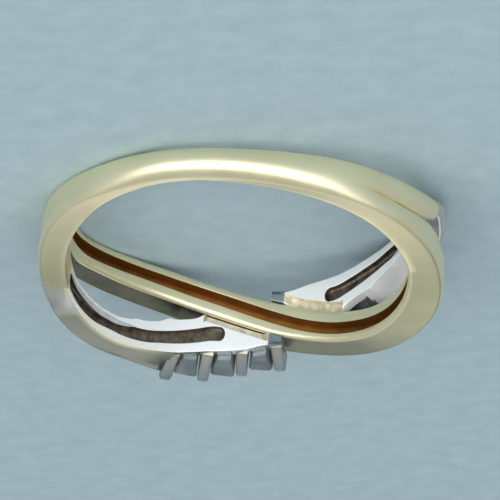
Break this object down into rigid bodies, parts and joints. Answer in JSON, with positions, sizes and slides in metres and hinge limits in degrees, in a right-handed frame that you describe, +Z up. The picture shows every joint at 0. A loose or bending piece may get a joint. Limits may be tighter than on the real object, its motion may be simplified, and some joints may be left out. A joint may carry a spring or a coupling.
{
  "type": "crossover ring",
  "caption": "Two-tone crossover finger ring: a polished yellow band crossed at the head by white arms set with step-cut stones, hollowed at the back.",
  "frame": {"origin": "on the table, under the middle of the ring's box as it lies on its side", "axes": "+Z up, nearly along the finger hole, whose axis leans by about 8 degrees as the ring rests; +Y towards the crossover head, -Y towards the shank"},
  "size_m": [0.0206, 0.0202, 0.006],
  "materials": {
    "yellow_gold": "polished",
    "white_gold": "polished",
    "clear_stone": "polished"
  },
  "bodies": {
    "root": {"yellow_band": "yellow_gold", "white_arm_upper": "white_gold", "white_arm_lower": "white_gold", "stone_upper_1": "clear_stone", "stone_upper_2": "clear_stone", "stone_upper_3": "clear_stone", "stone_lower_1": "clear_stone", "stone_lower_2": "clear_stone", "stone_lower_3": "clear_stone"}
  },
  "joints": []
}
